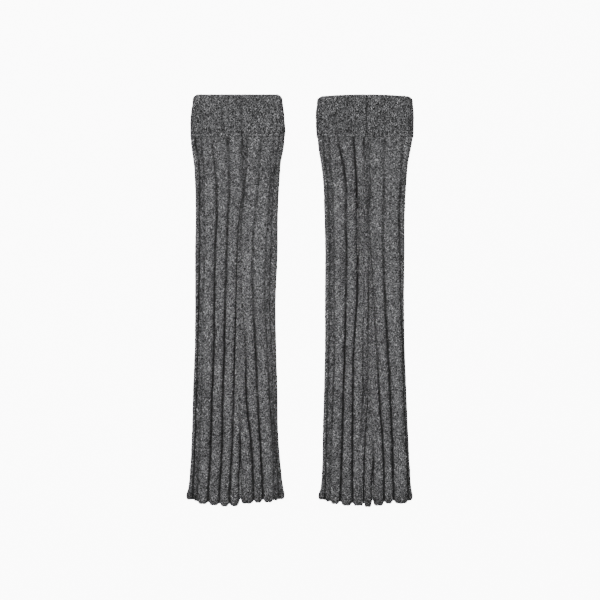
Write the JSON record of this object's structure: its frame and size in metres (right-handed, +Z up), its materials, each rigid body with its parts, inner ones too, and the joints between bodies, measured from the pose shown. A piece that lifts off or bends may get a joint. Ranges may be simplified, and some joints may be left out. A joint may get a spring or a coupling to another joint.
{
  "type": "pair of leg warmers",
  "caption": "Pair of long rib-knit wool leg warmers with a smooth doubled top band, a centre-back seam and a scalloped hem, laid flat side by side.",
  "frame": {"origin": "the middle of the pair's footprint, on the surface that the cloth lies on", "axes": "+Y runs along the legs from the scalloped hems to the top bands, +X from the left leg warmer to the right one as seen from above, +Z up out of the surface; the back seams face up"},
  "size_m": [0.273, 0.494, 0.0078],
  "materials": {
    "rib_knit": "charcoal grey melange wool in a deep two-by-one rib, matt and slightly fuzzy",
    "band_knit": "charcoal grey melange wool in plain knit, matt and slightly fuzzy"
  },
  "bodies": {
    "root": {"left_leg_tube": "rib_knit", "left_top_band": "band_knit", "right_leg_tube": "rib_knit", "right_top_band": "band_knit"}
  },
  "joints": []
}
